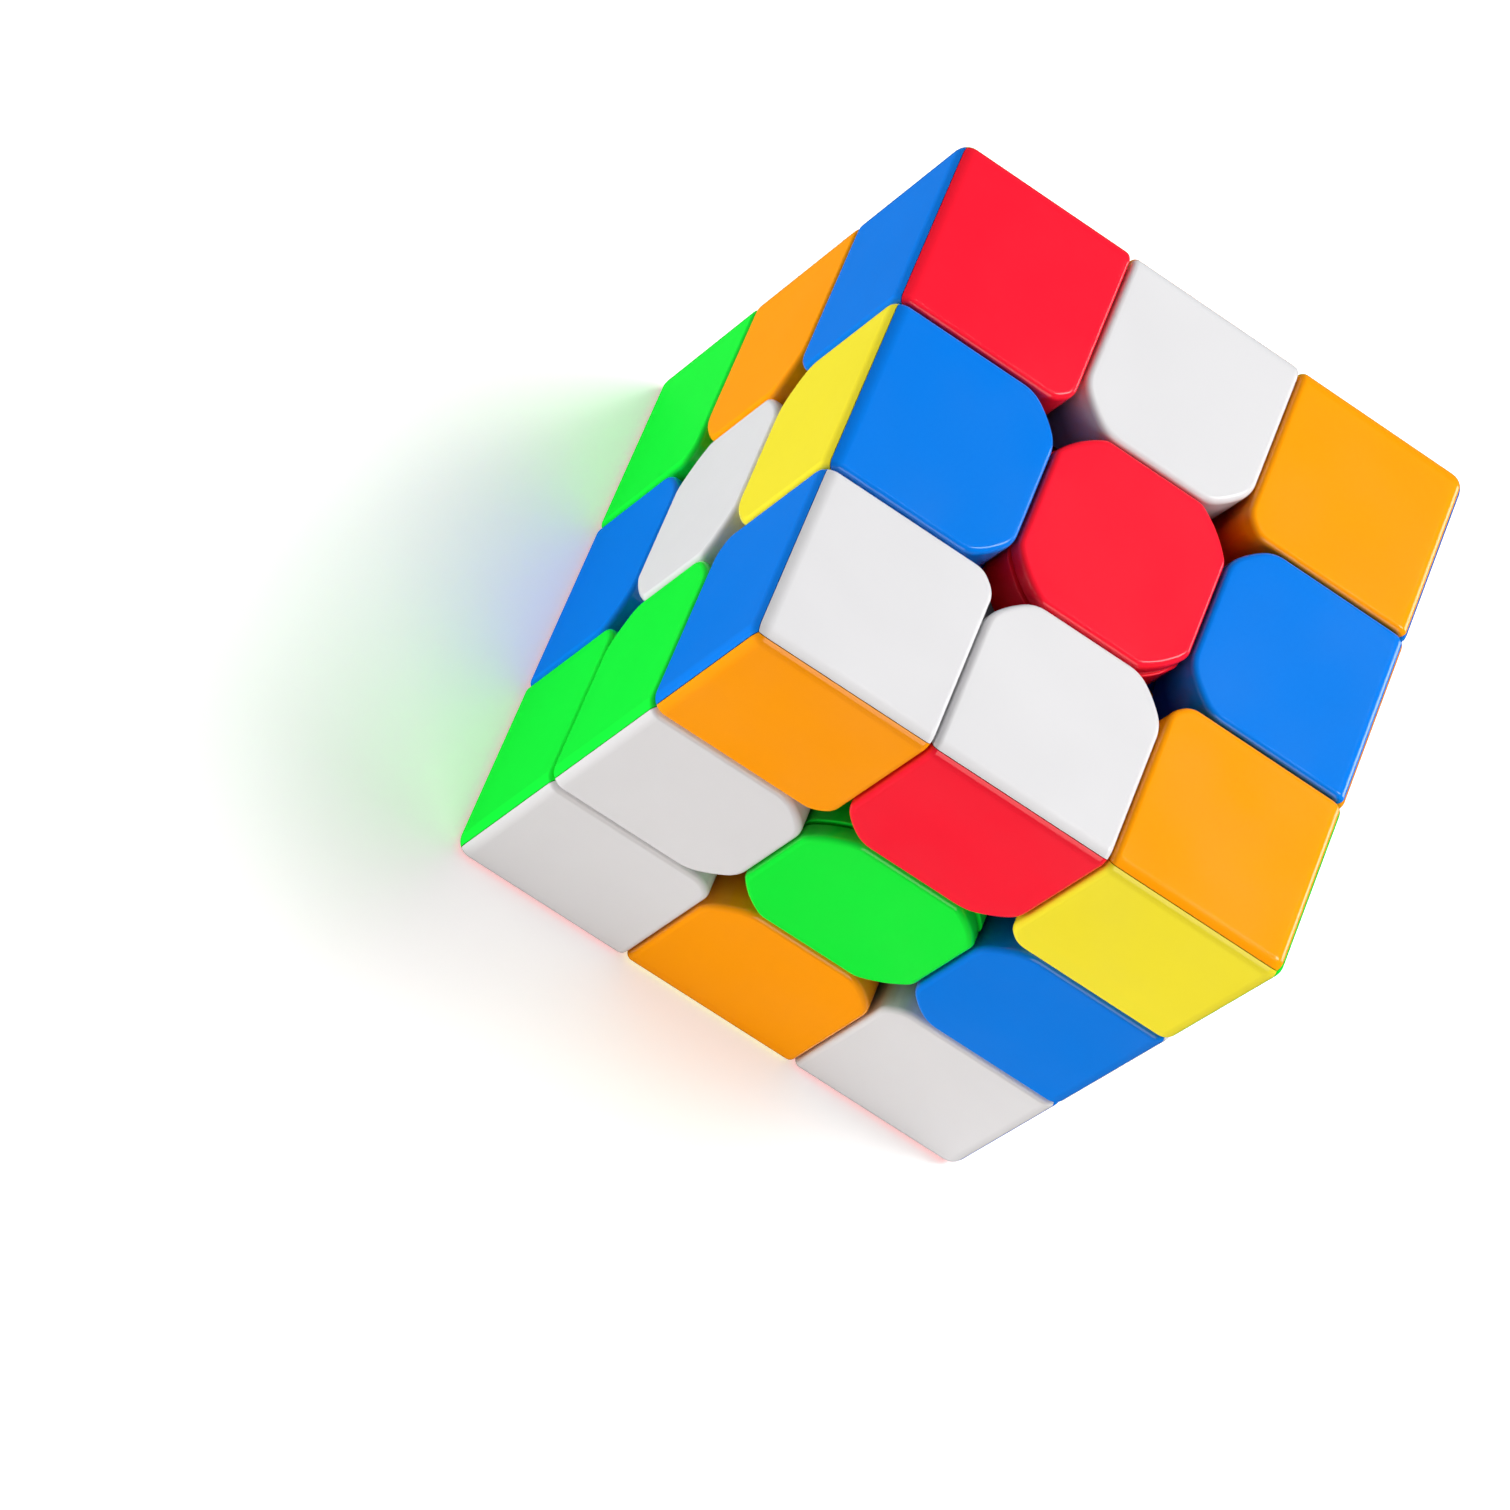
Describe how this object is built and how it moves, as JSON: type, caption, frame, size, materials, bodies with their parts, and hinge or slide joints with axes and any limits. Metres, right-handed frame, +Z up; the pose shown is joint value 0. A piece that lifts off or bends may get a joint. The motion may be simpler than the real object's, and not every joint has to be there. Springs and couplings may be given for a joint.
{
  "type": "twisty puzzle cube",
  "caption": "Stickerless twisty puzzle cube: spring-loaded centres turn on the arms of a core and hold the edge and corner pieces by their feet.",
  "frame": {"origin": "middle of the core, which is the middle of the cube", "axes": "+Z up through the face with the red centre, -Y out of the face with the green centre, +X out of the face with the yellow centre"},
  "size_m": [0.056, 0.056, 0.056],
  "materials": {
    "white_plastic": "gloss white ABS",
    "yellow_plastic": "gloss yellow ABS",
    "red_plastic": "gloss red ABS",
    "orange_plastic": "gloss orange ABS",
    "green_plastic": "gloss green ABS",
    "blue_plastic": "gloss blue ABS",
    "core_plastic": "black nylon",
    "screw_steel": "bright zinc",
    "spring_steel": "bright spring wire"
  },
  "bodies": {
    "core": {"core": "core_plastic", "up_spring": "spring_steel", "down_spring": "spring_steel", "front_spring": "spring_steel", "back_spring": "spring_steel", "left_spring": "spring_steel", "right_spring": "spring_steel"},
    "up_centre": {"up_centre_body": "red_plastic"},
    "up_cap": {"up_centre_cap": "red_plastic"},
    "up_screw": {"up_tension_screw": "screw_steel"},
    "down_centre": {"down_centre_body": "orange_plastic"},
    "down_cap": {"down_centre_cap": "orange_plastic"},
    "down_screw": {"down_tension_screw": "screw_steel"},
    "front_centre": {"front_centre_body": "green_plastic"},
    "front_cap": {"front_centre_cap": "green_plastic"},
    "front_screw": {"front_tension_screw": "screw_steel"},
    "back_centre": {"back_centre_body": "blue_plastic"},
    "back_cap": {"back_centre_cap": "blue_plastic"},
    "back_screw": {"back_tension_screw": "screw_steel"},
    "left_centre": {"left_centre_body": "white_plastic"},
    "left_cap": {"left_centre_cap": "white_plastic"},
    "left_screw": {"left_tension_screw": "screw_steel"},
    "right_centre": {"right_centre_body": "yellow_plastic"},
    "right_cap": {"right_centre_cap": "yellow_plastic"},
    "right_screw": {"right_tension_screw": "screw_steel"},
    "up_front_edge": {"up_front_edge_up_shell": "white_plastic", "up_front_edge_front_shell": "red_plastic"},
    "up_left_edge": {"up_left_edge_up_shell": "blue_plastic", "up_left_edge_left_shell": "yellow_plastic"},
    "up_right_edge": {"up_right_edge_up_shell": "blue_plastic", "up_right_edge_right_shell": "orange_plastic"},
    "up_back_edge": {"up_back_edge_up_shell": "white_plastic", "up_back_edge_back_shell": "orange_plastic"},
    "front_left_edge": {"front_left_edge_front_shell": "white_plastic", "front_left_edge_left_shell": "green_plastic"},
    "front_right_edge": {"front_right_edge_front_shell": "blue_plastic", "front_right_edge_right_shell": "white_plastic"},
    "back_left_edge": {"back_left_edge_back_shell": "green_plastic", "back_left_edge_left_shell": "orange_plastic"},
    "back_right_edge": {"back_right_edge_back_shell": "red_plastic", "back_right_edge_right_shell": "yellow_plastic"},
    "down_front_edge": {"down_front_edge_down_shell": "yellow_plastic", "down_front_edge_front_shell": "orange_plastic"},
    "down_left_edge": {"down_left_edge_down_shell": "red_plastic", "down_left_edge_left_shell": "blue_plastic"},
    "down_right_edge": {"down_right_edge_down_shell": "green_plastic", "down_right_edge_right_shell": "red_plastic"},
    "down_back_edge": {"down_back_edge_down_shell": "yellow_plastic", "down_back_edge_back_shell": "green_plastic"},
    "up_front_left_corner": {"up_front_left_corner": "white_plastic"},
    "up_front_right_corner": {"up_front_right_corner": "orange_plastic"},
    "up_back_left_corner": {"up_back_left_corner": "red_plastic"},
    "up_back_right_corner": {"up_back_right_corner": "orange_plastic"},
    "down_front_left_corner": {"down_front_left_corner": "red_plastic"},
    "down_front_right_corner": {"down_front_right_corner": "red_plastic"},
    "down_back_left_corner": {"down_back_left_corner": "red_plastic"},
    "down_back_right_corner": {"down_back_right_corner": "white_plastic"}
  },
  "joints": [
    {"name": "up_turn", "type": "hinge", "parent": "core", "child": "up_centre", "pos_m": [0, 0, 0], "axis": [0, 0, 1], "range_deg": [-180, 180]},
    {"name": "down_turn", "type": "hinge", "parent": "core", "child": "down_centre", "pos_m": [0, 0, 0], "axis": [0, 0, -1], "range_deg": [-180, 180]},
    {"name": "front_turn", "type": "hinge", "parent": "core", "child": "front_centre", "pos_m": [0, 0, 0], "axis": [0, -1, 0], "range_deg": [-180, 180]},
    {"name": "back_turn", "type": "hinge", "parent": "core", "child": "back_centre", "pos_m": [0, 0, 0], "axis": [0, 1, 0], "range_deg": [-180, 180]},
    {"name": "left_turn", "type": "hinge", "parent": "core", "child": "left_centre", "pos_m": [0, 0, 0], "axis": [-1, 0, 0], "range_deg": [-180, 180]},
    {"name": "right_turn", "type": "hinge", "parent": "core", "child": "right_centre", "pos_m": [0, 0, 0], "axis": [1, 0, 0], "range_deg": [-180, 180]},
    {"name": "up_cap_lift", "type": "slide", "parent": "up_centre", "child": "up_cap", "axis": [0, 0, 1], "range_m": [0, 0.012]},
    {"name": "down_cap_lift", "type": "slide", "parent": "down_centre", "child": "down_cap", "axis": [0, 0, -1], "range_m": [0, 0.012]},
    {"name": "front_cap_lift", "type": "slide", "parent": "front_centre", "child": "front_cap", "axis": [0, -1, 0], "range_m": [0, 0.012]},
    {"name": "back_cap_lift", "type": "slide", "parent": "back_centre", "child": "back_cap", "axis": [0, 1, 0], "range_m": [0, 0.012]},
    {"name": "left_cap_lift", "type": "slide", "parent": "left_centre", "child": "left_cap", "axis": [-1, 0, 0], "range_m": [0, 0.012]},
    {"name": "right_cap_lift", "type": "slide", "parent": "right_centre", "child": "right_cap", "axis": [1, 0, 0], "range_m": [0, 0.012]},
    {"name": "up_screw_adjust", "type": "hinge", "parent": "core", "child": "up_screw", "pos_m": [0, 0, 0], "axis": [0, 0, 1], "range_deg": [-180, 180]},
    {"name": "down_screw_adjust", "type": "hinge", "parent": "core", "child": "down_screw", "pos_m": [0, 0, 0], "axis": [0, 0, -1], "range_deg": [-180, 180]},
    {"name": "front_screw_adjust", "type": "hinge", "parent": "core", "child": "front_screw", "pos_m": [0, 0, 0], "axis": [0, -1, 0], "range_deg": [-180, 180]},
    {"name": "back_screw_adjust", "type": "hinge", "parent": "core", "child": "back_screw", "pos_m": [0, 0, 0], "axis": [0, 1, 0], "range_deg": [-180, 180]},
    {"name": "left_screw_adjust", "type": "hinge", "parent": "core", "child": "left_screw", "pos_m": [0, 0, 0], "axis": [-1, 0, 0], "range_deg": [-180, 180]},
    {"name": "right_screw_adjust", "type": "hinge", "parent": "core", "child": "right_screw", "pos_m": [0, 0, 0], "axis": [1, 0, 0], "range_deg": [-180, 180]},
    {"name": "up_front_edge_with_front", "type": "hinge", "parent": "up_centre", "child": "up_front_edge", "pos_m": [0, 0, 0], "axis": [0, -1, 0], "range_deg": [-180, 180]},
    {"name": "up_left_edge_with_left", "type": "hinge", "parent": "up_centre", "child": "up_left_edge", "pos_m": [0, 0, 0], "axis": [-1, 0, 0], "range_deg": [-180, 180]},
    {"name": "up_right_edge_with_right", "type": "hinge", "parent": "up_centre", "child": "up_right_edge", "pos_m": [0, 0, 0], "axis": [1, 0, 0], "range_deg": [-180, 180]},
    {"name": "up_back_edge_with_back", "type": "hinge", "parent": "up_centre", "child": "up_back_edge", "pos_m": [0, 0, 0], "axis": [0, 1, 0], "range_deg": [-180, 180]},
    {"name": "front_left_edge_with_left", "type": "hinge", "parent": "front_centre", "child": "front_left_edge", "pos_m": [0, 0, 0], "axis": [-1, 0, 0], "range_deg": [-180, 180]},
    {"name": "front_right_edge_with_right", "type": "hinge", "parent": "front_centre", "child": "front_right_edge", "pos_m": [0, 0, 0], "axis": [1, 0, 0], "range_deg": [-180, 180]},
    {"name": "back_left_edge_with_left", "type": "hinge", "parent": "back_centre", "child": "back_left_edge", "pos_m": [0, 0, 0], "axis": [-1, 0, 0], "range_deg": [-180, 180]},
    {"name": "back_right_edge_with_right", "type": "hinge", "parent": "back_centre", "child": "back_right_edge", "pos_m": [0, 0, 0], "axis": [1, 0, 0], "range_deg": [-180, 180]},
    {"name": "down_front_edge_with_front", "type": "hinge", "parent": "down_centre", "child": "down_front_edge", "pos_m": [0, 0, 0], "axis": [0, -1, 0], "range_deg": [-180, 180]},
    {"name": "down_left_edge_with_left", "type": "hinge", "parent": "down_centre", "child": "down_left_edge", "pos_m": [0, 0, 0], "axis": [-1, 0, 0], "range_deg": [-180, 180]},
    {"name": "down_right_edge_with_right", "type": "hinge", "parent": "down_centre", "child": "down_right_edge", "pos_m": [0, 0, 0], "axis": [1, 0, 0], "range_deg": [-180, 180]},
    {"name": "down_back_edge_with_back", "type": "hinge", "parent": "down_centre", "child": "down_back_edge", "pos_m": [0, 0, 0], "axis": [0, 1, 0], "range_deg": [-180, 180]},
    {"name": "up_front_left_corner_with_left", "type": "hinge", "parent": "up_front_edge", "child": "up_front_left_corner", "pos_m": [0, 0, 0], "axis": [-1, 0, 0], "range_deg": [-180, 180]},
    {"name": "up_front_right_corner_with_right", "type": "hinge", "parent": "up_front_edge", "child": "up_front_right_corner", "pos_m": [0, 0, 0], "axis": [1, 0, 0], "range_deg": [-180, 180]},
    {"name": "up_back_left_corner_with_left", "type": "hinge", "parent": "up_back_edge", "child": "up_back_left_corner", "pos_m": [0, 0, 0], "axis": [-1, 0, 0], "range_deg": [-180, 180]},
    {"name": "up_back_right_corner_with_right", "type": "hinge", "parent": "up_back_edge", "child": "up_back_right_corner", "pos_m": [0, 0, 0], "axis": [1, 0, 0], "range_deg": [-180, 180]},
    {"name": "down_front_left_corner_with_left", "type": "hinge", "parent": "down_front_edge", "child": "down_front_left_corner", "pos_m": [0, 0, 0], "axis": [-1, 0, 0], "range_deg": [-180, 180]},
    {"name": "down_front_right_corner_with_right", "type": "hinge", "parent": "down_front_edge", "child": "down_front_right_corner", "pos_m": [0, 0, 0], "axis": [1, 0, 0], "range_deg": [-180, 180]},
    {"name": "down_back_left_corner_with_left", "type": "hinge", "parent": "down_back_edge", "child": "down_back_left_corner", "pos_m": [0, 0, 0], "axis": [-1, 0, 0], "range_deg": [-180, 180]},
    {"name": "down_back_right_corner_with_right", "type": "hinge", "parent": "down_back_edge", "child": "down_back_right_corner", "pos_m": [0, 0, 0], "axis": [1, 0, 0], "range_deg": [-180, 180]}
  ],
  "couplings": [
    {"joint": "up_front_edge_with_front", "follows": "front_turn", "ratio": 1},
    {"joint": "up_left_edge_with_left", "follows": "left_turn", "ratio": 1},
    {"joint": "up_right_edge_with_right", "follows": "right_turn", "ratio": 1},
    {"joint": "up_back_edge_with_back", "follows": "back_turn", "ratio": 1},
    {"joint": "front_left_edge_with_left", "follows": "left_turn", "ratio": 1},
    {"joint": "front_right_edge_with_right", "follows": "right_turn", "ratio": 1},
    {"joint": "back_left_edge_with_left", "follows": "left_turn", "ratio": 1},
    {"joint": "back_right_edge_with_right", "follows": "right_turn", "ratio": 1},
    {"joint": "down_front_edge_with_front", "follows": "front_turn", "ratio": 1},
    {"joint": "down_left_edge_with_left", "follows": "left_turn", "ratio": 1},
    {"joint": "down_right_edge_with_right", "follows": "right_turn", "ratio": 1},
    {"joint": "down_back_edge_with_back", "follows": "back_turn", "ratio": 1},
    {"joint": "up_front_left_corner_with_left", "follows": "left_turn", "ratio": 1},
    {"joint": "up_front_right_corner_with_right", "follows": "right_turn", "ratio": 1},
    {"joint": "up_back_left_corner_with_left", "follows": "left_turn", "ratio": 1},
    {"joint": "up_back_right_corner_with_right", "follows": "right_turn", "ratio": 1},
    {"joint": "down_front_left_corner_with_left", "follows": "left_turn", "ratio": 1},
    {"joint": "down_front_right_corner_with_right", "follows": "right_turn", "ratio": 1},
    {"joint": "down_back_left_corner_with_left", "follows": "left_turn", "ratio": 1},
    {"joint": "down_back_right_corner_with_right", "follows": "right_turn", "ratio": 1}
  ]
}
